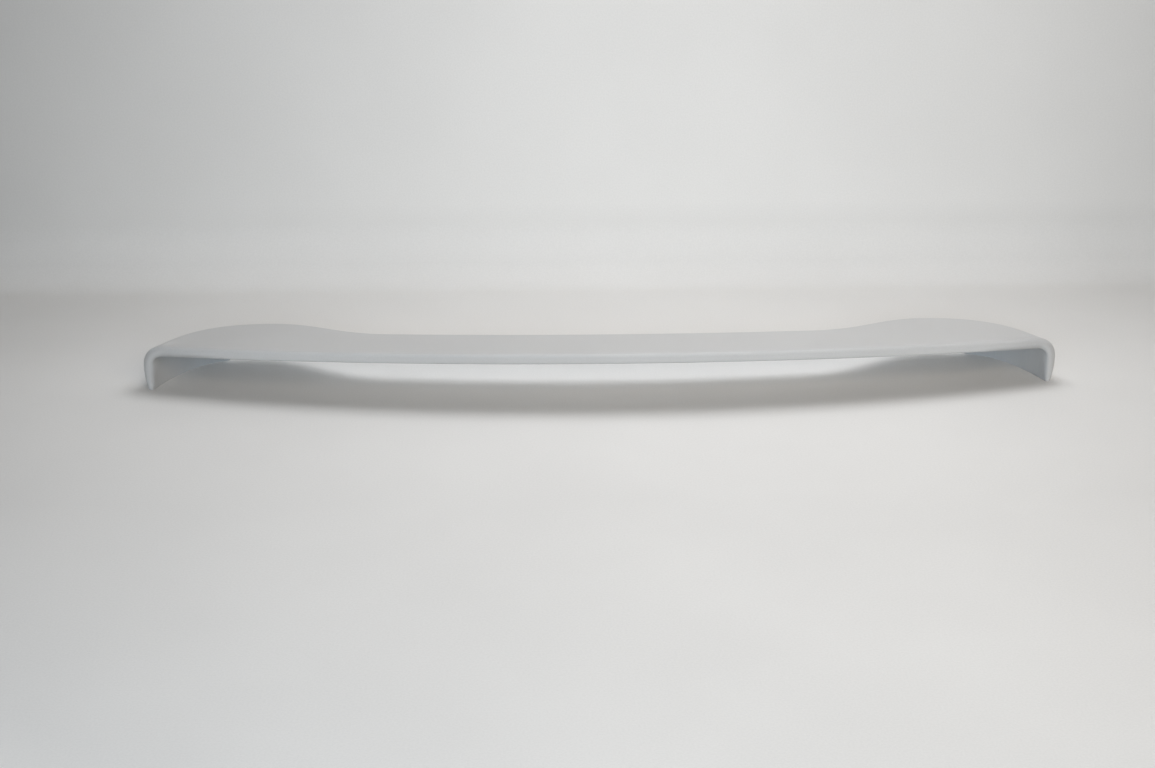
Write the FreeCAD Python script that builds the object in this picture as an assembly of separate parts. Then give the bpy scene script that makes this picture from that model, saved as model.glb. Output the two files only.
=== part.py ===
"""Boot-lid wing spoiler, moulded as one thin shell: a long blade with a hollow foot at each end.

The shell stands on the rims of its two feet.  Sizes are in millimetres, with +Z up, +X along the
span to the right as seen from behind the car, and +Y towards the front of the car.  The origin is
on the plane that the feet stand on, midway along the span and the depth.
"""
import FreeCAD, Part
import math
import os

from FreeCAD import Vector

# Plan of the blade and the feet
FOOT_HALF_SPAN = 618.0        # centre plane to a foot's outer rear corner, at the floor
OVERALL_DEPTH = 209.0         # middle of the lip to the noses of the feet
LIP_BULGE = 90.0              # how far the lip's middle stands behind its two ends
BLADE_CHORD = 116.0           # depth of the blade at the centre plane
BLADE_FRONT_RADIUS = 2450.0   # plan radius of the blade's front edge
BLADE_HALF_LENGTH = 294.0     # centre plane to where the blade swells into a foot
FOOT_NOSE_X = 468.0           # centre plane to the nose, the foremost point of a foot
FOOT_TOE_IN_DEG = 22.0        # how far a foot's outer side turns inwards towards the front
FOOT_SIDE_STRAIGHT = 16.0     # straight part of a foot's outer side, from the rear corner
CORNER_REACH_SIDE = 70.0      # pull of the outer side on the foot's rounded front corner
CORNER_REACH_NOSE = 80.0      # pull of the nose on the foot's rounded front corner
SWELL_REACH_NOSE = 72.0       # pull of the nose on the curve from foot to blade
SWELL_REACH_BLADE = 72.0      # pull of the blade on the curve from foot to blade

# Section of the shell
LIP_HEIGHT = 77.0             # top of the lip's middle above the floor
TOP_FALL_DEG = 5.4            # how far the top falls towards the front
TOP_CROWN_RADIUS = 30000.0    # crown of the top along the span
SIDE_ROUND = 95.0             # radius of the bulge of a foot's outer side
SIDE_CREST_Z = 30.0           # height at which a foot is widest
FRONT_LEAN_DEG = 10.0         # how far the front leans back towards the top
WALL = 4.0                    # thickness of the skin
SHOULDER_RADIUS = 28.0        # round-over from the top into the outer sides
FRONT_RADIUS = 6.0            # round-over from the top into the front
LIP_RADIUS = 4.5              # round-over along the rear edge

# Rear edge, which hangs from the blade as a lip and runs on down both feet
LIP_DEPTH = 14.0              # height of the lip
LIP_WALL = 6.5                # thickness of the lip
FOOT_WALL = 9.5               # thickness of a foot's rear edge, at the floor
LIP_CORNER_RADIUS = 16.0      # inner corner where the lip turns into a foot
INNER_EDGE_RADIUS = 2.5       # round-over of the rear edge on its inner side

# Open space under the blade
ARCH_HALF_WIDTH = 522.0       # centre plane to where a foot's rim leaves the floor
ARCH_FOOT_DEG = 75.0          # angle at which the rim leaves the floor
ARCH_SHOULDER_X = 462.0       # centre plane to where the rim has risen to the blade
ARCH_REACH_FOOT = 30.0        # pull of the foot on the rising rim
ARCH_REACH_BLADE = 70.0       # pull of the blade on the rising rim
FRONT_RETURN = 12.0           # how far the front edge of the blade and the noses turns down

# How far the cutting shapes reach past the shell
REACH = 60.0

LIP_Y = -OVERALL_DEPTH / 2
NOSE_Y = OVERALL_DEPTH / 2
FOOT_REAR_Y = LIP_Y + LIP_BULGE
FOOT_INNER_X = FOOT_HALF_SPAN - FOOT_WALL
BLADE_FRONT_Y = LIP_Y + BLADE_CHORD
LIP_PLAN_RADIUS = (FOOT_HALF_SPAN ** 2 + LIP_BULGE ** 2) / (2 * LIP_BULGE)
FALL = math.tan(math.radians(TOP_FALL_DEG))
LEAN = math.tan(math.radians(FRONT_LEAN_DEG))
REAR = LIP_Y - REACH
LOW = -REACH / 2
HIGH = LIP_HEIGHT + REACH / 2
THROUGH = Vector(0, OVERALL_DEPTH + 2 * REACH, 0)
UP = Vector(0, 0, 1)


def mirrored(point):
    """The same point on the other side of the centre plane."""
    return Vector(-point.x, point.y, point.z)


def bezier(*poles):
    """A smooth edge from the first pole to the last, drawn towards those between."""
    curve = Part.BezierCurve()
    curve.setPoles(list(poles))
    return curve.toShape()


def middle_of(edge):
    """The point halfway along an edge."""
    return edge.valueAt((edge.FirstParameter + edge.LastParameter) / 2)


def first_end(edge):
    """The point where an edge starts."""
    return edge.valueAt(edge.FirstParameter)


def last_end(edge):
    """The point where an edge ends."""
    return edge.valueAt(edge.LastParameter)


def lip_y(x, inset=0):
    """Where the lip's face, drawn in by inset, stands in the depth at x."""
    return LIP_Y + LIP_PLAN_RADIUS - math.sqrt((LIP_PLAN_RADIUS - inset) ** 2 - x ** 2)


def blade_front_y(x):
    """Where the blade's front edge stands in the depth, at x."""
    return BLADE_FRONT_Y + BLADE_FRONT_RADIUS - math.sqrt(BLADE_FRONT_RADIUS ** 2 - x ** 2)


def top_z(x, y):
    """Height of the top above the floor, before its edges are rounded."""
    return LIP_HEIGHT - FALL * (y - LIP_Y) - x ** 2 / (2 * TOP_CROWN_RADIUS)


def side_x(z):
    """Where a foot's bulging outer side stands along the span at its rear corner, at height z."""
    return FOOT_HALF_SPAN + (SIDE_CREST_Z ** 2 - (z - SIDE_CREST_Z) ** 2) / (2 * SIDE_ROUND)


def plan_wire(z, inset):
    """Plan outline at height z, of the outer faces or, with an inset, of the hollow.

    It follows the feet and the blade's front, and runs on past the lip, whose face cuts it off.
    A foot's outer side bulges, and its inner side stands upright.
    """
    toe = math.radians(FOOT_TOE_IN_DEG)
    along_side = Vector(-math.sin(toe), math.cos(toe), 0)
    foot_rear = Vector(side_x(z), FOOT_REAR_Y, z)
    if inset:
        foot_rear = Vector(FOOT_INNER_X, lip_y(FOOT_INNER_X, LIP_WALL), z)
    back = foot_rear - along_side * (LIP_BULGE + REACH)
    side_end = foot_rear + along_side * FOOT_SIDE_STRAIGHT
    spread = LEAN * (top_z(FOOT_NOSE_X, NOSE_Y) - z) - inset / math.cos(math.radians(FRONT_LEAN_DEG))
    nose = Vector(FOOT_NOSE_X, NOSE_Y + spread, z)

    turn = math.asin(BLADE_HALF_LENGTH / BLADE_FRONT_RADIUS)
    along_blade = Vector(math.cos(turn), math.sin(turn), 0)
    into_blade = Vector(math.sin(turn), -math.cos(turn), 0)
    blade_end = Vector(BLADE_HALF_LENGTH, blade_front_y(BLADE_HALF_LENGTH), z) - into_blade * spread
    blade_middle = Vector(0, BLADE_FRONT_Y + spread, z)

    corner = (side_end, side_end + along_side * CORNER_REACH_SIDE,
              nose + Vector(CORNER_REACH_NOSE, 0, 0), nose)
    swell = (nose, nose - Vector(SWELL_REACH_NOSE, 0, 0),
             blade_end + along_blade * SWELL_REACH_BLADE, blade_end)
    return Part.Wire([
        Part.makeLine(back, side_end),
        bezier(*corner),
        bezier(*swell),
        Part.Arc(blade_end, blade_middle, mirrored(blade_end)).toShape(),
        bezier(*[mirrored(p) for p in reversed(swell)]),
        bezier(*[mirrored(p) for p in reversed(corner)]),
        Part.makeLine(mirrored(side_end), mirrored(back)),
        Part.makeLine(mirrored(back), back)])


def under_top(inset):
    """Everything below the crowned top, which falls towards the front."""
    half = FOOT_HALF_SPAN + HIGH
    crest = Vector(0, REAR, LIP_HEIGHT + FALL * REACH - inset)
    right = Vector(half, REAR, crest.z - half ** 2 / (2 * TOP_CROWN_RADIUS))
    right_foot = Vector(half, REAR, 2 * LOW)
    profile = Part.Wire([
        Part.Arc(mirrored(right), crest, right).toShape(),
        Part.makeLine(right, right_foot),
        Part.makeLine(right_foot, mirrored(right_foot)),
        Part.makeLine(mirrored(right_foot), mirrored(right))])
    return Part.Face(profile).extrude(THROUGH - UP * FALL * THROUGH.y)


def lip_cylinder(inset):
    """An upright cylinder whose rear side is the lip's face, drawn in by inset."""
    axis = Vector(0, LIP_Y + LIP_PLAN_RADIUS, 2 * LOW)
    return Part.makeCylinder(LIP_PLAN_RADIUS - inset, HIGH - 4 * LOW, axis, UP)


def on_lip_face(point, inset):
    """Whether a point lies on the face of the lip, drawn in by inset."""
    axis = Vector(0, LIP_Y + LIP_PLAN_RADIUS, point.z)
    return abs((point - axis).Length - LIP_PLAN_RADIUS + inset) < 0.01


def round_over(point):
    """Radius of the round-over at a point of the top's edge: full on the outer sides, small in front."""
    return SHOULDER_RADIUS if abs(point.x) > (FOOT_NOSE_X + FOOT_HALF_SPAN) / 2 else FRONT_RADIUS


def rounded(blank, radii):
    """A body with some of its edges rounded, each by a radius that runs from one end to the other.

    The radii are given as the edge's number and the radius at its start and at its end.
    """
    sheet = FreeCAD.newDocument()
    plain = sheet.addObject("Part::Feature", "plain")
    plain.Shape = blank
    smooth = sheet.addObject("Part::Fillet", "smooth")
    smooth.Base = plain
    smooth.Edges = radii
    sheet.recompute()
    shape = smooth.Shape.copy()
    FreeCAD.closeDocument(sheet.Name)
    return shape.Solids[0]


def body(inset, rear_inset):
    """The form of the shell as a full body, or with insets the form of its hollow."""
    levels = [plan_wire(z, inset) for z in (LOW, (LOW + HIGH) / 2, HIGH)]
    walls = Part.makeLoft(levels, True, False)
    blank = walls.common(lip_cylinder(rear_inset)).common(under_top(inset)).Solids[0]
    radii = []
    for number, edge in enumerate(blank.Edges, 1):
        if min(v.Z for v in edge.Vertexes) > 0 and not on_lip_face(middle_of(edge), rear_inset):
            radii.append((number, round_over(first_end(edge)) - inset, round_over(last_end(edge)) - inset))
    return rounded(blank, radii)


def with_rounded_lip(blank):
    """The outer body with its rear edge rounded, over the lip and down both feet."""
    rear_edges = [e for e in blank.Edges if on_lip_face(middle_of(e), 0) and middle_of(e).z > LOW / 2]
    return blank.makeFillet(LIP_RADIUS, rear_edges).Solids[0]


def rear_opening():
    """The opening in the rear face, below the lip and between the feet."""
    corner_z = top_z(FOOT_INNER_X, lip_y(FOOT_INNER_X)) - LIP_DEPTH
    crest = Vector(0, REAR, LIP_HEIGHT - LIP_DEPTH)
    corner = Vector(FOOT_INNER_X, REAR, corner_z)
    foot = Vector(FOOT_INNER_X, REAR, LOW)
    profile = Part.Wire([
        Part.Arc(mirrored(corner), crest, corner).toShape(),
        Part.makeLine(corner, foot),
        Part.makeLine(foot, mirrored(foot)),
        Part.makeLine(mirrored(foot), mirrored(corner))])
    block = Part.Face(profile).extrude(THROUGH)
    corners = [e for e in block.Edges
               if abs(abs(middle_of(e).x) - corner.x) < 0.01 and abs(middle_of(e).z - corner.z) < 0.01]
    block = block.makeFillet(LIP_CORNER_RADIUS, corners)
    return block.cut(lip_cylinder(LIP_WALL))


def with_soft_opening(shell):
    """The shell with the rear edge rounded on its inner side, round the opening."""
    edges = [e for e in shell.Edges if on_lip_face(middle_of(e), 0)
             and abs(middle_of(e).x) < FOOT_INNER_X + 0.01
             and 0.01 < middle_of(e).z < LIP_HEIGHT - LIP_DEPTH + 0.01]
    return shell.makeFillet(INNER_EDGE_RADIUS, edges).Solids[0]


def arch():
    """The open space under the blade, between the feet."""
    crest = Vector(0, REAR, top_z(0, BLADE_FRONT_Y) - FRONT_RETURN)
    shoulder_z = top_z(ARCH_SHOULDER_X, NOSE_Y) - FRONT_RETURN
    shoulder = Vector(ARCH_SHOULDER_X, REAR, shoulder_z)
    along_blade = Vector(1, 0, -2 * (crest.z - shoulder_z) / ARCH_SHOULDER_X)
    angle = math.radians(ARCH_FOOT_DEG)
    off_floor = Vector(-math.cos(angle), 0, math.sin(angle))
    foot = Vector(ARCH_HALF_WIDTH, REAR, 0)
    below = Vector(ARCH_HALF_WIDTH, REAR, LOW)
    rise = (shoulder, shoulder + along_blade * ARCH_REACH_BLADE,
            foot + off_floor * ARCH_REACH_FOOT, foot)
    profile = Part.Wire([
        Part.Arc(mirrored(shoulder), crest, shoulder).toShape(),
        bezier(*rise),
        Part.makeLine(foot, below),
        Part.makeLine(below, mirrored(below)),
        Part.makeLine(mirrored(below), mirrored(foot)),
        bezier(*[mirrored(p) for p in reversed(rise)])])
    return Part.Face(profile).extrude(THROUGH)


def below_floor():
    """Everything under the plane that the feet stand on."""
    half = FOOT_HALF_SPAN + REACH
    return Part.makeBox(2 * half, THROUGH.y, REACH, Vector(-half, REAR, -REACH))


def centred(shell):
    """The shell moved along its depth until the origin stands midway."""
    box = shell.optimalBoundingBox()
    return shell.translated(Vector(0, -(box.YMin + box.YMax) / 2, 0))


def spoiler_shell():
    """The finished shell."""
    shell = with_rounded_lip(body(0, 0)).cut(body(WALL, LIP_WALL))
    shell = with_soft_opening(shell.cut(rear_opening()).cut(below_floor()))
    return centred(shell.cut(arch())).Solids[0]


def main():
    """Builds the shell and writes it out."""
    os.makedirs("parts", exist_ok=True)
    shell = spoiler_shell()
    shell.exportStep("parts/spoiler_shell.step")
    print("spoiler_shell", "valid" if shell.isValid() else "not valid", "volume %.0f mm3" % shell.Volume)


main()
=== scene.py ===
"""Boot-lid wing spoiler in light grey primer, standing on a pale studio sweep.

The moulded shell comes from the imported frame. This script gives it a welded, smoothly shaded skin
with two finishes: sprayed primer on the outer skin, and the rougher primed inside of the moulding.
A floor with a curved backdrop, soft lamps and the camera complete the picture. Lengths are in metres.
"""
import logging
import math
from dataclasses import dataclass, field
from enum import Enum
from typing import Callable

import bpy
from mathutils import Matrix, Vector


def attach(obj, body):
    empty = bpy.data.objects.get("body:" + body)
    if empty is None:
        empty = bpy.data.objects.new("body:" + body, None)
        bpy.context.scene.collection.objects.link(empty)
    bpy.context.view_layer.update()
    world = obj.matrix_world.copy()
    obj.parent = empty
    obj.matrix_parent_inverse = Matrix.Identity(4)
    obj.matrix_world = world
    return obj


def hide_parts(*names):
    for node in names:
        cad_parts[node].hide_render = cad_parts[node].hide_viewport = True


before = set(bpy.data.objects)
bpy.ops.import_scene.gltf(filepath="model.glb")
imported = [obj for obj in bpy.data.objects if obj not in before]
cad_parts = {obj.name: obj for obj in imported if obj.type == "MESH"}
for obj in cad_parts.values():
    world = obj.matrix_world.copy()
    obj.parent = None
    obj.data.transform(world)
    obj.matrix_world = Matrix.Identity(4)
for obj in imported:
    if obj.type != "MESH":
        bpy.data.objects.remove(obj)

LOG = logging.getLogger("spoiler")
NOISE_RANGE = (0.3, 0.7)

Colour = tuple[float, float, float]
Place = tuple[float, float, float]


class SocketKind(Enum):
    """Kinds of value that a node group takes or gives."""

    NUMBER = "NodeSocketFloat"
    VECTOR = "NodeSocketVector"


class SocketWay(Enum):
    """The two sides of a node group."""

    TAKES = "INPUT"
    GIVES = "OUTPUT"


class NodeBench:
    """Adds nodes to one shader tree and joins them."""

    def __init__(self, tree: bpy.types.NodeTree) -> None:
        """Takes the tree and empties it.

        Args:
            tree: the tree of a material, a world or a group.
        """
        self.tree = tree
        tree.nodes.clear()

    def add(self, kind: str, **settings: object) -> bpy.types.Node:
        """Adds a node.

        Args:
            kind: the node's type, without its common prefix.
            settings: the node's properties.

        Returns:
            The new node.
        """
        node = self.tree.nodes.new("ShaderNode" + kind)
        for name, value in settings.items():
            setattr(node, name, value)
        return node

    def feed(self, node: bpy.types.Node, **inputs: object) -> bpy.types.Node:
        """Sets or joins a node's inputs.

        Args:
            node: the node that takes the inputs.
            inputs: a socket of another node, or a plain value, for each input by its name with
                spaces as underscores, or by its number as in i0.

        Returns:
            The same node.
        """
        for name, value in inputs.items():
            numbered = name[0] == "i" and name[1:].isdigit()
            socket = node.inputs[int(name[1:])] if numbered else node.inputs[name.replace("_", " ")]
            if isinstance(value, bpy.types.NodeSocket):
                self.tree.links.new(value, socket)
            else:
                socket.default_value = value
        return node

    def maths(self, operation: str, *values: object, clamp: bool = False) -> bpy.types.NodeSocket:
        """Joins values by one step of arithmetic.

        Args:
            operation: the step, such as ADD or MULTIPLY.
            values: sockets or numbers.
            clamp: whether the result is kept from 0 to 1.

        Returns:
            The socket of the result.
        """
        node = self.add("Math", operation=operation, use_clamp=clamp)
        self.feed(node, **{f"i{k}": value for k, value in enumerate(values)})
        return node.outputs[0]

    def spread(self, value: object, low: float, high: float,
               to_low: float, to_high: float) -> bpy.types.NodeSocket:
        """Carries a value from one range to another, and keeps it there.

        Args:
            value: the socket to carry over.
            low: start of its range.
            high: end of its range.
            to_low: what the start becomes.
            to_high: what the end becomes.

        Returns:
            The socket of the result.
        """
        node = self.add("MapRange", clamp=True)
        self.feed(node, Value=value, From_Min=low, From_Max=high, To_Min=to_low, To_Max=to_high)
        return node.outputs["Result"]

    def blend(self, share: object, first: object, second: object) -> bpy.types.NodeSocket:
        """Mixes two colours.

        Args:
            share: how much of the second colour shows, from 0 to 1.
            first: the first colour, as a socket or as red, green, blue and alpha.
            second: the second colour, likewise.

        Returns:
            The socket of the mixed colour.
        """
        node = self.add("Mix", data_type="RGBA")
        self.feed(node, i0=share, i6=first, i7=second)
        return node.outputs[2]

    def noise(self, vector: object, size: object, detail: float) -> bpy.types.NodeSocket:
        """Even noise whose patches have a given size.

        Args:
            vector: the place on the surface, in metres.
            size: rough size of a patch, in metres, as a socket or a number.
            detail: number of finer layers.

        Returns:
            The socket of the noise, about 0.5.
        """
        node = self.add("TexNoise", noise_dimensions="3D")
        scale = self.maths("DIVIDE", 1.0, size)
        self.feed(node, Vector=vector, Scale=scale, Detail=detail)
        return node.outputs[0]


GroupBuilder = Callable[[bpy.types.NodeTree, NodeBench], None]


class EffectGroups:
    """Surface effects that several finishes share, each built once as a node group."""

    speckle_height: float = 0.35
    edge_turn: tuple[float, float] = (0.99, 0.8)
    edge_patches: tuple[float, float] = (0.35, 0.65)
    least_edge: float = 0.15
    drift_patches: tuple[float, float] = (0.4, 0.75)
    drift_share: float = 0.5
    fleck_patches: tuple[float, float] = (0.62, 0.8)
    least_upward: float = 0.5

    def __init__(self) -> None:
        """Builds every group."""
        self.grain = self._group("sprayed_grain", self._grain)
        self.edges = self._group("rubbed_edges", self._edges)
        self.dust = self._group("settled_dust", self._dust)

    @staticmethod
    def _group(name: str, build: GroupBuilder) -> bpy.types.NodeTree:
        """Makes one empty group and has it built.

        Args:
            name: the group's name.
            build: fills the group.

        Returns:
            The finished group.
        """
        tree = bpy.data.node_groups.new(name, "ShaderNodeTree")
        build(tree, NodeBench(tree))
        return tree

    @staticmethod
    def _sockets(tree: bpy.types.NodeTree, way: SocketWay,
                 sockets: dict[str, tuple[SocketKind, float]]) -> None:
        """Gives a group its named inputs or outputs.

        Args:
            tree: the group.
            way: whether the group takes or gives them.
            sockets: kind and usual value of each socket, by name. A vector keeps its own usual value.
        """
        for name, (kind, usual) in sockets.items():
            socket = tree.interface.new_socket(name, in_out=way.value, socket_type=kind.value)
            if kind is SocketKind.NUMBER:
                socket.default_value = usual

    def _grain(self, tree: bpy.types.NodeTree, bench: NodeBench) -> None:
        """Cloudy patches, fine speckle and a rippled height, as a sprayed or pressed surface has.

        Args:
            tree: the group.
            bench: adds its nodes.
        """
        number, vector = SocketKind.NUMBER, SocketKind.VECTOR
        self._sockets(tree, SocketWay.TAKES, {
            "Place": (vector, 0.0), "Cloud size": (number, 0.15),
            "Speckle size": (number, 0.0012), "Ripple size": (number, 0.004)})
        self._sockets(tree, SocketWay.GIVES, {
            "Cloud": (number, 0.5), "Speckle": (number, 0.5), "Height": (number, 0.5)})
        start = tree.nodes.new("NodeGroupInput")
        end = tree.nodes.new("NodeGroupOutput")
        cloud = bench.noise(start.outputs["Place"], start.outputs["Cloud size"], 3.0)
        speckle = bench.noise(start.outputs["Place"], start.outputs["Speckle size"], 1.0)
        ripple = bench.noise(start.outputs["Place"], start.outputs["Ripple size"], 1.0)
        height = bench.maths("ADD", ripple, bench.maths("MULTIPLY", speckle, self.speckle_height))
        bench.feed(end, Cloud=cloud, Speckle=speckle, Height=height)

    def _edges(self, tree: bpy.types.NodeTree, bench: NodeBench) -> None:
        """A mask along the outer edges, where sanding rubs the coat thin.

        Args:
            tree: the group.
            bench: adds its nodes.
        """
        number, vector = SocketKind.NUMBER, SocketKind.VECTOR
        self._sockets(tree, SocketWay.TAKES, {
            "Place": (vector, 0.0), "Width": (number, 0.002), "Break-up size": (number, 0.01)})
        self._sockets(tree, SocketWay.GIVES, {"Mask": (number, 0.0)})
        start = tree.nodes.new("NodeGroupInput")
        end = tree.nodes.new("NodeGroupOutput")
        rounded = bench.add("Bevel", samples=6)
        bench.feed(rounded, Radius=start.outputs["Width"])
        surface = bench.add("NewGeometry")
        facing = bench.add("VectorMath", operation="DOT_PRODUCT")
        bench.feed(facing, i0=rounded.outputs[0], i1=surface.outputs["Normal"])
        edge = bench.spread(facing.outputs["Value"], *self.edge_turn, 0.0, 1.0)
        patches = bench.noise(start.outputs["Place"], start.outputs["Break-up size"], 3.0)
        broken = bench.spread(patches, *self.edge_patches, self.least_edge, 1.0)
        bench.feed(end, Mask=bench.maths("MULTIPLY", edge, broken, clamp=True))

    def _dust(self, tree: bpy.types.NodeTree, bench: NodeBench) -> None:
        """A mask of fine dust that settles on surfaces which face up.

        Args:
            tree: the group.
            bench: adds its nodes.
        """
        number, vector = SocketKind.NUMBER, SocketKind.VECTOR
        self._sockets(tree, SocketWay.TAKES, {
            "Place": (vector, 0.0), "Drift size": (number, 0.12), "Fleck size": (number, 0.002)})
        self._sockets(tree, SocketWay.GIVES, {"Mask": (number, 0.0)})
        start = tree.nodes.new("NodeGroupInput")
        end = tree.nodes.new("NodeGroupOutput")
        surface = bench.add("NewGeometry")
        split = bench.add("SeparateXYZ")
        bench.feed(split, Vector=surface.outputs["Normal"])
        upward = bench.spread(split.outputs["Z"], self.least_upward, 1.0, 0.0, 1.0)
        drift = bench.noise(start.outputs["Place"], start.outputs["Drift size"], 4.0)
        drift = bench.spread(drift, *self.drift_patches, 0.0, self.drift_share)
        flecks = bench.noise(start.outputs["Place"], start.outputs["Fleck size"], 2.0)
        flecks = bench.spread(flecks, *self.fleck_patches, 0.0, 1.0)
        amount = bench.maths("ADD", drift, flecks, clamp=True)
        bench.feed(end, Mask=bench.maths("MULTIPLY", upward, amount, clamp=True))


def rgba(colour: Colour) -> tuple[float, float, float, float]:
    """The colour with full alpha."""
    return (*colour, 1.0)


def object_place(bench: NodeBench) -> bpy.types.NodeSocket:
    """The place on the surface in the part's own frame, in metres."""
    return bench.add("TexCoord").outputs["Object"]


def placed_group(bench: NodeBench, group: bpy.types.NodeTree, **inputs: object) -> bpy.types.Node:
    """Places a shared effect in a material.

    Args:
        bench: adds to the material's tree.
        group: the effect.
        inputs: its inputs, as NodeBench.feed takes them.

    Returns:
        The placed group node.
    """
    node = bench.add("Group", node_tree=group)
    return bench.feed(node, **inputs)


@dataclass(frozen=True)
class FlowingEdge:
    """Normals that flow round the rear edge, a little along the lip and broadly down the feet."""

    lip_depth: float = 0.1056
    lip_curve: float = 0.236
    lip_reach: float = 0.005
    foot_reach: float = 0.026
    rim_reach: float = 0.002
    foot_start: float = 0.50
    foot_full: float = 0.60
    rim_height: float = 0.030
    fade_start: float = 0.03
    fade_end: float = 0.06
    least_share: float = 0.03
    samples: int = 12

    def normal(self, bench: NodeBench, place: bpy.types.NodeSocket) -> bpy.types.NodeSocket:
        """Rounds the normals near the rear edge.

        Args:
            bench: adds to the material's tree.
            place: the place on the surface.

        Returns:
            The socket of the normal.
        """
        split = bench.add("SeparateXYZ")
        bench.feed(split, Vector=place)
        along, depth = split.outputs["X"], split.outputs["Y"]
        bulge = bench.maths("MULTIPLY", bench.maths("MULTIPLY", along, along), self.lip_curve)
        behind_lip = bench.maths("SUBTRACT", bench.maths("ADD", depth, self.lip_depth), bulge)
        aside = bench.maths("ABSOLUTE", along)
        broad = bench.spread(aside, self.foot_start, self.foot_full, self.lip_reach, self.foot_reach)
        near_edge = bench.spread(behind_lip, self.fade_start, self.fade_end, 1.0, self.least_share)
        off_floor = bench.spread(split.outputs["Z"], 0.0, self.rim_height, self.rim_reach, self.foot_reach)
        reach = bench.maths("MULTIPLY", bench.maths("MINIMUM", broad, off_floor), near_edge)
        rounded = bench.add("Bevel", samples=self.samples)
        bench.feed(rounded, Radius=reach)
        return rounded.outputs[0]


@dataclass(frozen=True)
class PrimerFinish:
    """Light grey spray primer, satin and lightly sanded."""

    name: str = "grey_primer"
    colour: Colour = (0.483, 0.478, 0.472)
    thin_colour: Colour = (0.530, 0.537, 0.538)
    dust_colour: Colour = (0.570, 0.562, 0.548)
    cloud_share: float = 0.035
    speckle_share: float = 0.030
    edge_share: float = 0.45
    dust_share: float = 0.10
    roughness: float = 0.46
    roughness_spread: float = 0.10
    cloud_size: float = 0.16
    speckle_size: float = 0.0011
    ripple_size: float = 0.0042
    ripple_height: float = 0.00002
    edge_width: float = 0.0022
    dust_roughness: float = 0.8
    specular: float = 0.42
    rear_edge: FlowingEdge = field(default_factory=FlowingEdge)

    def material(self, effects: EffectGroups) -> bpy.types.Material:
        """Builds the finish.

        Args:
            effects: the shared effects.

        Returns:
            The material.
        """
        made = bpy.data.materials.new(self.name)
        made.use_nodes = True
        bench = NodeBench(made.node_tree)
        place = object_place(bench)
        grain = placed_group(bench, effects.grain, Place=place, Cloud_size=self.cloud_size,
                             Speckle_size=self.speckle_size, Ripple_size=self.ripple_size)
        edges = placed_group(bench, effects.edges, Place=place, Width=self.edge_width)
        dust = placed_group(bench, effects.dust, Place=place)

        cloud = bench.spread(grain.outputs["Cloud"], *NOISE_RANGE,
                             1 - self.cloud_share, 1 + self.cloud_share)
        speckle = bench.spread(grain.outputs["Speckle"], *NOISE_RANGE,
                               1 - self.speckle_share, 1 + self.speckle_share)
        shade = bench.add("VectorMath", operation="SCALE")
        bench.feed(shade, i0=self.colour, Scale=bench.maths("MULTIPLY", cloud, speckle))
        thin = bench.maths("MULTIPLY", edges.outputs["Mask"], self.edge_share)
        dusty = bench.maths("MULTIPLY", dust.outputs["Mask"], self.dust_share)
        colour = bench.blend(thin, shade.outputs[0], rgba(self.thin_colour))
        colour = bench.blend(dusty, colour, rgba(self.dust_colour))
        half = self.roughness_spread / 2
        roughness = bench.spread(grain.outputs["Cloud"], *NOISE_RANGE,
                                 self.roughness - half, self.roughness + half)
        roughness = bench.maths("ADD", roughness, bench.maths("MULTIPLY", dusty, self.dust_roughness))

        bump = bench.add("Bump")
        bench.feed(bump, Strength=1.0, Distance=self.ripple_height, Height=grain.outputs["Height"],
                   Normal=self.rear_edge.normal(bench, place))
        coat = bench.add("BsdfPrincipled")
        bench.feed(coat, Base_Color=colour, Roughness=roughness, Normal=bump.outputs[0],
                   Specular_IOR_Level=self.specular)
        bench.feed(bench.add("OutputMaterial"), Surface=coat.outputs[0])
        return made


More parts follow.
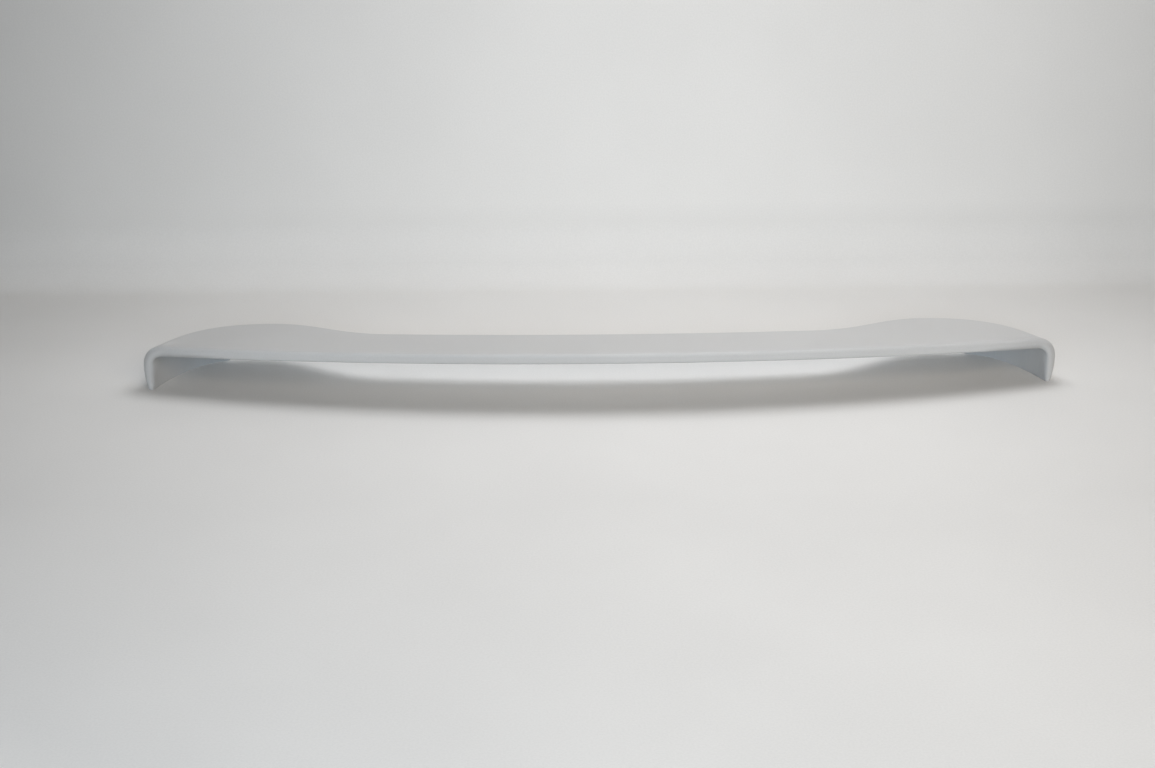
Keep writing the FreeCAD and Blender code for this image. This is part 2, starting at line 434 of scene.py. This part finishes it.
@dataclass(frozen=True)
class InsideFinish:
    """The inside of the moulding: primer laid unevenly over the print of chopped strands."""

    name: str = "primed_inside"
    colour: Colour = (0.478, 0.475, 0.474)
    bare_colour: Colour = (0.440, 0.444, 0.440)
    cloud_size: float = 0.05
    speckle_size: float = 0.0016
    strand_length: float = 0.030
    strand_width: float = 0.0016
    strand_layers: int = 3
    strand_turn_deg: float = 67.0
    strand_height: float = 0.00012
    strand_shift: float = 0.013
    strand_cut: float = 0.55
    bare_patches: tuple[float, float] = (0.35, 0.7)
    bare_share: float = 0.5
    print_share: float = 0.25
    grain_height: float = 0.3
    roughness: float = 0.62
    roughness_spread: float = 0.16
    specular: float = 0.35
    rear_edge: FlowingEdge = field(default_factory=FlowingEdge)

    def material(self, effects: EffectGroups) -> bpy.types.Material:
        """Builds the finish.

        Args:
            effects: the shared effects.

        Returns:
            The material.
        """
        made = bpy.data.materials.new(self.name)
        made.use_nodes = True
        bench = NodeBench(made.node_tree)
        place = object_place(bench)
        grain = placed_group(bench, effects.grain, Place=place, Cloud_size=self.cloud_size,
                             Speckle_size=self.speckle_size, Ripple_size=self.speckle_size * 4)
        strands = self._strands(bench, place)
        cloud = bench.spread(grain.outputs["Cloud"], *self.bare_patches, 0.0, self.bare_share)
        print_through = bench.maths("MULTIPLY", strands, self.print_share)
        share = bench.maths("ADD", cloud, print_through, clamp=True)
        colour = bench.blend(share, rgba(self.colour), rgba(self.bare_colour))
        pimples = bench.maths("MULTIPLY", grain.outputs["Height"], self.grain_height)
        height = bench.maths("ADD", strands, pimples)
        half = self.roughness_spread / 2
        roughness = bench.spread(grain.outputs["Cloud"], *NOISE_RANGE,
                                 self.roughness - half, self.roughness + half)

        bump = bench.add("Bump")
        bench.feed(bump, Strength=1.0, Distance=self.strand_height, Height=height,
                   Normal=self.rear_edge.normal(bench, place))
        coat = bench.add("BsdfPrincipled")
        bench.feed(coat, Base_Color=colour, Roughness=roughness, Normal=bump.outputs[0],
                   Specular_IOR_Level=self.specular)
        bench.feed(bench.add("OutputMaterial"), Surface=coat.outputs[0])
        return made

    def _strands(self, bench: NodeBench, place: bpy.types.NodeSocket) -> bpy.types.NodeSocket:
        """Long thin cells in several directions, as strands pressed flat show through paint.

        Args:
            bench: adds to the material's tree.
            place: the place on the surface.

        Returns:
            The socket of the strands' height, from 0 to 1.
        """
        height = None
        for layer in range(self.strand_layers):
            turn = math.radians(self.strand_turn_deg * layer)
            mapping = bench.add("Mapping", vector_type="TEXTURE")
            bench.feed(mapping, Vector=place, Rotation=(0.0, 0.0, turn),
                       Location=(self.strand_shift * layer, 0.0, 0.0),
                       Scale=(self.strand_length, self.strand_width, self.strand_length))
            cells = bench.add("TexVoronoi", feature="F1")
            bench.feed(cells, Vector=mapping.outputs[0], Scale=1.0)
            tone = bench.add("SeparateColor")
            bench.feed(tone, i0=cells.outputs["Color"])
            lifted = bench.spread(tone.outputs[0], self.strand_cut, 1.0, 0.0, 1.0)
            height = lifted if height is None else bench.maths("MAXIMUM", height, lifted)
        return height


def seen_ray(bench: NodeBench) -> bpy.types.NodeSocket:
    """Tells rays that look at the ground from rays that carry its light to other things.

    Args:
        bench: adds to the tree.

    Returns:
        The socket that is 1 for a camera, glossy or transmission ray.
    """
    path = bench.add("LightPath")
    seen = bench.maths("MAXIMUM", path.outputs["Is Camera Ray"], path.outputs["Is Transmission Ray"])
    return bench.maths("MAXIMUM", seen, path.outputs["Is Glossy Ray"])


@dataclass(frozen=True)
class PaperFinish:
    """Pale matt studio paper with painted shade towards its sides, in the cove and behind the part, painted
    light towards the camera and up the wall, and seen through from behind.
    """

    name: str = "studio_paper"
    colour: Colour = (0.746, 0.731, 0.712)
    # From here to the far range: painted shade towards the sides, in the cove and behind the part, and
    # painted light towards the camera and up the wall.
    floor_shade_centre: float = -0.10
    wall_shade_centre: float = 0.06
    floor_painted_shade_rate: float = 0.13
    wall_painted_shade_rate: float = 0.23
    painted_side_shade_limit: float = 0.70
    wall_painted_light: float = 1.12
    wall_height: float = 0.12
    cove_painted_shade: float = 0.96
    cove_height: float = 0.03
    near_painted_light: float = 1.15
    near_light_range: tuple[float, float] = (-1.0, -0.4)
    far_painted_shade: float = 0.93
    far_shade_range: tuple[float, float] = (0.0, 0.3)
    roughness: float = 0.9
    specular: float = 0.2
    tone_share: float = 0.02
    fibre_size: float = 0.0025
    cloud_size: float = 0.30
    pale_start: float = 1.08
    pale_full: float = 1.45
    pale_colour: Colour = (0.69, 0.685, 0.675)

    def material(self, effects: EffectGroups) -> bpy.types.Material:
        """Builds the finish.

        Args:
            effects: the shared effects.

        Returns:
            The material.
        """
        made = bpy.data.materials.new(self.name)
        made.use_nodes = True
        bench = NodeBench(made.node_tree)
        place = object_place(bench)
        grain = placed_group(bench, effects.grain, Place=place, Cloud_size=self.cloud_size,
                             Speckle_size=self.fibre_size, Ripple_size=self.fibre_size * 3)
        tones = (1 - self.tone_share, 1 + self.tone_share)
        cloud = bench.spread(grain.outputs["Cloud"], *NOISE_RANGE, *tones)
        fibre = bench.spread(grain.outputs["Speckle"], *NOISE_RANGE, *tones)
        # The paper's random cloud and fibre tones, times its painted light and shade.
        tone = bench.maths("MULTIPLY", bench.maths("MULTIPLY", cloud, fibre), self._painted_light_and_shade(bench, place))
        shade = bench.add("VectorMath", operation="SCALE")
        bench.feed(shade, i0=self.colour, Scale=tone)
        paper = bench.add("BsdfPrincipled")
        bench.feed(paper, Base_Color=shade.outputs[0], Roughness=self.roughness,
                   Specular_IOR_Level=self.specular)
        pale = bench.add("Emission")
        bench.feed(pale, Color=rgba(self.pale_colour), Strength=1.0)
        front = bench.add("MixShader")
        bench.feed(front, i0=self._pale_share(bench, place), i1=paper.outputs[0], i2=pale.outputs[0])
        behind = bench.add("NewGeometry").outputs["Backfacing"]
        sides = bench.add("MixShader")
        bench.feed(sides, i0=behind, i1=front.outputs[0], i2=bench.add("BsdfTransparent").outputs[0])
        bench.feed(bench.add("OutputMaterial"), Surface=sides.outputs[0])
        return made

    def _pale_share(self, bench: NodeBench, place: bpy.types.NodeSocket) -> bpy.types.NodeSocket:
        """How far the paper, well away from the part, is seen as an even pale ground.

        Args:
            bench: adds to the material's tree.
            place: the place on the paper.

        Returns:
            The socket of the share, 0 round the part.
        """
        flat = bench.add("VectorMath", operation="MULTIPLY")
        bench.feed(flat, i0=place, i1=(1.0, 1.0, 0.0))
        away = bench.add("VectorMath", operation="LENGTH")
        bench.feed(away, i0=flat.outputs[0])
        share = bench.spread(away.outputs["Value"], self.pale_start, self.pale_full, 0.0, 1.0)
        return bench.maths("MULTIPLY", share, seen_ray(bench))

    def _painted_light_and_shade(self, bench: NodeBench, place: bpy.types.NodeSocket) -> bpy.types.NodeSocket:
        """Painted light and shade on the paper: painted shade to both sides, behind the part and in the
        cove, and painted light towards the camera and up the wall.

        Args:
            bench: adds to the material's tree.
            place: the place on the paper.

        Returns:
            The socket of the painted light and shade, about 1 in the middle.
        """
        split = bench.add("SeparateXYZ")
        bench.feed(split, Vector=place)
        height = split.outputs["Z"]
        # Painted shade, darker towards both sides.
        centre = bench.spread(height, 0.0, self.wall_height, self.floor_shade_centre, self.wall_shade_centre)
        aside = bench.maths("SUBTRACT", split.outputs["X"], centre)
        share = bench.spread(height, 0.0, self.wall_height, self.floor_painted_shade_rate, self.wall_painted_shade_rate)
        fall = bench.maths("MULTIPLY", bench.maths("MULTIPLY", aside, aside), share)
        painted_side_shade = bench.maths("MAXIMUM", bench.maths("SUBTRACT", 1.0, fall), self.painted_side_shade_limit)
        # Painted shade in the cove, painted light up the wall.
        below = bench.spread(height, 0.0, self.cove_height, 1.0, self.cove_painted_shade)
        above = bench.spread(height, self.cove_height, self.wall_height, self.cove_painted_shade, self.wall_painted_light)
        cove = bench.maths("MAXIMUM", below, above)
        # Painted light towards the camera, painted shade behind the part.
        near = bench.spread(split.outputs["Y"], *self.near_light_range, self.near_painted_light, 1.0)
        far = bench.spread(split.outputs["Y"], *self.far_shade_range, 1.0, self.far_painted_shade)
        along = bench.maths("MULTIPLY", near, far)
        return bench.maths("MULTIPLY", bench.maths("MULTIPLY", painted_side_shade, cove), along)


def begin_edit(piece: bpy.types.Object) -> None:
    """Selects one piece alone and opens it for editing with nothing in it selected.

    Args:
        piece: the piece to shape.
    """
    bpy.ops.object.select_all(action="DESELECT")
    bpy.context.view_layer.objects.active = piece
    piece.select_set(True)
    bpy.ops.object.mode_set(mode="EDIT")
    bpy.ops.mesh.select_all(action="DESELECT")


def end_edit() -> None:
    """Closes the piece that is open."""
    bpy.ops.object.mode_set(mode="OBJECT")


def apply_modifier(piece: bpy.types.Object, kind: str, **settings: object) -> None:
    """Finishes a piece with one modifier.

    Args:
        piece: the piece.
        kind: the modifier's type.
        settings: the modifier's properties.
    """
    bpy.ops.object.select_all(action="DESELECT")
    bpy.context.view_layer.objects.active = piece
    piece.select_set(True)
    modifier = piece.modifiers.new(kind.lower(), kind)
    for name, value in settings.items():
        setattr(modifier, name, value)
    bpy.ops.object.modifier_apply(modifier=modifier.name)


@dataclass
class SpoilerSkin:
    """The visible skin of the moulded shell, welded from the shell's own mesh."""

    node: str = "spoiler_shell"
    body: str = "root"
    slot: str = "primer"
    name: str = "spoiler_skin"
    weld: float = 2e-6
    crease_deg: float = 38.0
    soft_edge: float = 0.0009
    soft_steps: int = 3
    normal_weight: int = 60
    foot_line: tuple[float, float] = (0.6085, -0.0116)
    foot_line_bend: tuple[float, float] = (0.004, 0.0013)
    foot_line_slack: float = 0.0003
    foot_ease: float = 0.0016
    foot_ease_steps: tuple[tuple[float, float], ...] = (
        (0.0335, 1.0), (0.0347, 0.85), (0.0360, 0.7), (0.0375, 0.5), (0.0390, 0.3), (0.0405, 0.15))
    hollow_half_length: float = 0.50
    hollow_height: float = 0.035
    outer: PrimerFinish = field(default_factory=PrimerFinish)
    inner: InsideFinish = field(default_factory=InsideFinish)

    def build(self, effects: EffectGroups) -> bpy.types.Object:
        """Makes the skin and dresses it.

        Args:
            effects: the shared effects.

        Returns:
            The finished piece.
        """
        piece = self._welded_copy()
        self._ease_foot_edge(piece)
        self._crease(piece)
        self._dress(piece, effects)
        self._soften(piece)
        self._smooth(piece)
        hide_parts(self.node)
        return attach(piece, self.body)

    def _welded_copy(self) -> bpy.types.Object:
        """A copy of the shell's mesh with its loose triangles welded into one surface."""
        piece = bpy.data.objects.new(self.name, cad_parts[self.node].data.copy())
        bpy.context.scene.collection.objects.link(piece)
        begin_edit(piece)
        bpy.ops.mesh.select_all(action="SELECT")
        bpy.ops.mesh.remove_doubles(threshold=self.weld)
        bpy.ops.mesh.customdata_custom_splitnormals_clear()
        bpy.ops.mesh.mark_sharp(clear=True)
        end_edit()
        return piece

    def _ease_foot_edge(self, piece: bpy.types.Object) -> None:
        """Draws the inner line of each foot's rear edge inwards, so that the edge flows into the hollow.

        The line is drawn in fully down the foot, and less and less round the corner under the lip.

        Args:
            piece: the skin.
        """
        for side in (-1.0, 1.0):
            low = -1.0
            for high, share in self.foot_ease_steps:
                begin_edit(piece)
                bpy.ops.mesh.select_mode(type="VERT")
                end_edit()
                for vertex in piece.data.vertices:
                    vertex.select = low < vertex.co.z <= high and self._on_foot_line(vertex.co, side)
                bpy.ops.object.mode_set(mode="EDIT")
                bpy.ops.transform.translate(value=(-side * self.foot_ease * share, 0.0, 0.0))
                end_edit()
                low = high

    def _on_foot_line(self, place: Vector, side: float) -> bool:
        """Whether a point lies on the inner line of a foot's rear edge.

        Args:
            place: the point.
            side: 1 for the right foot, -1 for the left.

        Returns:
            True on the line, within its small bends.
        """
        from_line = (place.x * side - self.foot_line[0], place.y - self.foot_line[1])
        return all(-bend < off < self.foot_line_slack for off, bend in zip(from_line, self.foot_line_bend))

    def _crease(self, piece: bpy.types.Object) -> None:
        """Marks the shell's real edges.

        Args:
            piece: the skin.
        """
        begin_edit(piece)
        bpy.ops.mesh.select_mode(type="EDGE")
        bpy.ops.mesh.edges_select_sharp(sharpness=math.radians(self.crease_deg))
        bpy.ops.mesh.mark_sharp()
        end_edit()

    def _dress(self, piece: bpy.types.Object, effects: EffectGroups) -> None:
        """Gives the outer skin its primer, and the inside its own finish.

        Args:
            piece: the skin.
            effects: the shared effects.
        """
        piece.data.materials.clear()
        piece.data.materials.append(self.inner.material(effects))
        piece.data.materials.append(self.outer.material(effects))
        begin_edit(piece)
        bpy.ops.mesh.select_mode(type="FACE")
        end_edit()
        for face in piece.data.polygons:
            face.select = self._faces_out(face)
        bpy.ops.object.mode_set(mode="EDIT")
        piece.active_material_index = 1
        bpy.ops.object.material_slot_assign()
        end_edit()

    def _faces_out(self, face: bpy.types.MeshPolygon) -> bool:
        """Whether a face looks away from the middle of the hollow.

        Args:
            face: a face of the skin.

        Returns:
            True for the outer skin, False for the inside.
        """
        along = max(-self.hollow_half_length, min(self.hollow_half_length, face.center.x))
        middle = Vector((along, 0.0, self.hollow_height))
        return face.normal.dot(face.center - middle) > 0.0

    def _soften(self, piece: bpy.types.Object) -> None:
        """Rounds the free edges a little, as paint and sanding leave them.

        Args:
            piece: the skin.
        """
        apply_modifier(piece, "BEVEL", width=self.soft_edge, segments=self.soft_steps, limit_method="ANGLE",
                       angle_limit=math.radians(self.crease_deg), use_clamp_overlap=True)

    def _smooth(self, piece: bpy.types.Object) -> None:
        """Shades the curved skin smoothly and lets its broad faces set the normals.

        Args:
            piece: the skin.
        """
        piece.data.polygons.foreach_set("use_smooth", [True] * len(piece.data.polygons))
        apply_modifier(piece, "WEIGHTED_NORMAL", mode="FACE_AREA_WITH_ANGLE", weight=self.normal_weight,
                       keep_sharp=True)


@dataclass
class Studio:
    """A pale floor with a paper sweep that rises behind the part."""

    half_width: float = 16.0
    sweep_half_width: float = 4.0
    sweep_start: float = 0.40
    sweep_radius: float = 0.09
    sweep_height: float = 0.80
    sweep_steps: int = 24
    sweep_overlap: float = 0.05
    sweep_lift: float = 0.0004
    floor_cuts: int = 3
    weld: float = 1e-5
    paper: PaperFinish = field(default_factory=PaperFinish)

    def build(self, effects: EffectGroups) -> list[bpy.types.Object]:
        """Makes the floor and the sweep.

        Args:
            effects: the shared effects.

        Returns:
            The two stage pieces.
        """
        material = self.paper.material(effects)
        stage = [self._floor(), self._sweep()]
        for piece in stage:
            piece.data.materials.append(material)
        return stage

    def _floor(self) -> bpy.types.Object:
        """The flat floor under the part."""
        bpy.ops.object.select_all(action="DESELECT")
        bpy.ops.mesh.primitive_plane_add(size=2 * self.half_width)
        floor = bpy.context.object
        floor.name = "studio_floor"
        begin_edit(floor)
        bpy.ops.mesh.select_all(action="SELECT")
        bpy.ops.mesh.subdivide(number_cuts=self.floor_cuts)
        end_edit()
        return floor

    def _sweep(self) -> bpy.types.Object:
        """The backdrop, which leaves the floor in a round cove."""
        bpy.ops.object.select_all(action="DESELECT")
        bpy.ops.mesh.primitive_plane_add(size=1.0)
        sweep = bpy.context.object
        sweep.name = "studio_sweep"
        begin_edit(sweep)
        bpy.ops.mesh.select_all(action="SELECT")
        bpy.ops.transform.resize(value=(2 * self.sweep_half_width, self.sweep_overlap, 1.0))
        bpy.ops.transform.translate(value=(0.0, self.sweep_start - self.sweep_overlap / 2, self.sweep_lift))
        end_edit()
        self._select_far_edge(sweep)
        bpy.ops.mesh.spin(steps=self.sweep_steps, angle=-math.pi / 2, axis=(1.0, 0.0, 0.0),
                          center=(0.0, self.sweep_start, self.sweep_radius + self.sweep_lift))
        bpy.ops.mesh.extrude_region_move(TRANSFORM_OT_translate={"value": (0.0, 0.0, self.sweep_height)})
        bpy.ops.mesh.select_all(action="SELECT")
        bpy.ops.mesh.remove_doubles(threshold=self.weld)
        end_edit()
        bpy.ops.object.shade_smooth()
        return sweep

    @staticmethod
    def _select_far_edge(sheet: bpy.types.Object) -> None:
        """Opens a sheet with the edge furthest from the camera selected.

        Args:
            sheet: the flat start of the sweep.
        """
        begin_edit(sheet)
        bpy.ops.mesh.select_mode(type="EDGE")
        end_edit()
        points = sheet.data.vertices
        far = max(sheet.data.edges, key=lambda edge: min(points[v].co.y for v in edge.vertices))
        far.select = True
        bpy.ops.object.mode_set(mode="EDIT")


@dataclass(frozen=True)
class Lamp:
    """One soft lamp."""

    name: str
    place: Place
    aim: Place
    watts: float
    size: tuple[float, float]
    colour: Colour = (1.0, 1.0, 1.0)
    spread_deg: float = 180.0

    def build(self) -> bpy.types.Object:
        """Hangs the lamp and aims it."""
        light = bpy.data.lights.new(self.name, "AREA")
        light.shape = "RECTANGLE"
        light.energy = self.watts
        light.color = self.colour
        light.size, light.size_y = self.size
        light.spread = math.radians(self.spread_deg)
        lamp = bpy.data.objects.new(self.name, light)
        bpy.context.scene.collection.objects.link(lamp)
        lamp.location = self.place
        lamp.rotation_euler = (Vector(self.aim) - Vector(self.place)).to_track_quat("-Z", "Y").to_euler()
        lamp.visible_camera = False
        return lamp


@dataclass
class LightRig:
    """Soft studio light: two lamps above and behind, a warm and a cool one in front, and a faint room."""

    lamps: tuple[Lamp, ...] = (
        Lamp("rear_softbox", (0.12, 0.60, 1.40), (0.1, 0.0, 0.0),
             10.5, (1.2, 1.1), (0.95, 0.967, 0.99)),
        Lamp("overhead_softbox", (0.28, 0.32, 1.30), (0.2, 0.0, 0.0),
             8.7, (1.05, 1.05), (0.95, 0.967, 0.99)),
        Lamp("front_softbox", (1.00, -2.35, 1.40), (0.25, 0.0, 0.05),
             6.2, (2.0, 1.2), (1.0, 0.86, 0.70), 80.0),
        Lamp("low_softbox", (-0.10, -2.60, 0.80), (0.2, 0.0, 0.05),
             9.9, (2.6, 0.5), (0.73, 0.87, 1.0), 80.0),
    )
    room_colour: Colour = (1.0, 1.0, 1.0)
    room_level: float = 0.10
    seen_level: float = 0.72

    def build(self) -> None:
        """Hangs the lamps and sets the room's even light."""
        for lamp in self.lamps:
            lamp.build()
            LOG.info("lamp %s, %.0f W", lamp.name, lamp.watts)
        world = bpy.data.worlds.new("studio_room")
        bpy.context.scene.world = world
        world.use_nodes = True
        bench = NodeBench(world.node_tree)
        room, pale = (bench.add("Background") for _ in range(2))
        bench.feed(room, Color=rgba(self.room_colour), Strength=self.room_level)
        bench.feed(pale, Color=rgba(self.room_colour), Strength=self.seen_level)
        both = bench.add("MixShader")
        bench.feed(both, i0=seen_ray(bench), i1=room.outputs[0], i2=pale.outputs[0])
        bench.feed(bench.add("OutputWorld"), Surface=both.outputs[0])


@dataclass(frozen=True)
class PhotoCamera:
    """The camera, where the photograph was taken from."""

    elevation_deg: float = 20.5
    yaw_deg: float = 1.58
    distance: float = 2.700
    target: Place = (-0.033, 0.0074, -0.0064)
    focal_pixels: float = 1960.0
    image_width: float = 1155.0
    sensor_width: float = 36.0

    def build(self) -> bpy.types.Object:
        """Sets the camera up and looks through it."""
        tilt, yaw = math.radians(self.elevation_deg), math.radians(self.yaw_deg)
        forward = Vector((math.sin(yaw) * math.cos(tilt), math.cos(yaw) * math.cos(tilt), -math.sin(tilt)))
        lens = bpy.data.cameras.new("photo_camera")
        lens.sensor_fit = "HORIZONTAL"
        lens.sensor_width = self.sensor_width
        lens.lens = self.focal_pixels / self.image_width * self.sensor_width
        camera = bpy.data.objects.new("photo_camera", lens)
        bpy.context.scene.collection.objects.link(camera)
        camera.location = Vector(self.target) - forward * self.distance
        camera.rotation_euler = forward.to_track_quat("-Z", "Y").to_euler()
        bpy.context.scene.camera = camera
        return camera


def main() -> None:
    """Builds the part's skin, the studio, the light and the camera."""
    logging.basicConfig(level=logging.INFO, format="%(name)s: %(message)s")
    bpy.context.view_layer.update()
    bpy.context.scene.view_settings.view_transform = "Standard"
    effects = EffectGroups()
    PhotoCamera().build()
    skin = SpoilerSkin().build(effects)
    LOG.info("piece %s, %d faces", skin.name, len(skin.data.polygons))
    for piece in Studio().build(effects):
        LOG.info("stage %s", piece.name)
    LightRig().build()


if __name__ == "__main__":
    main()
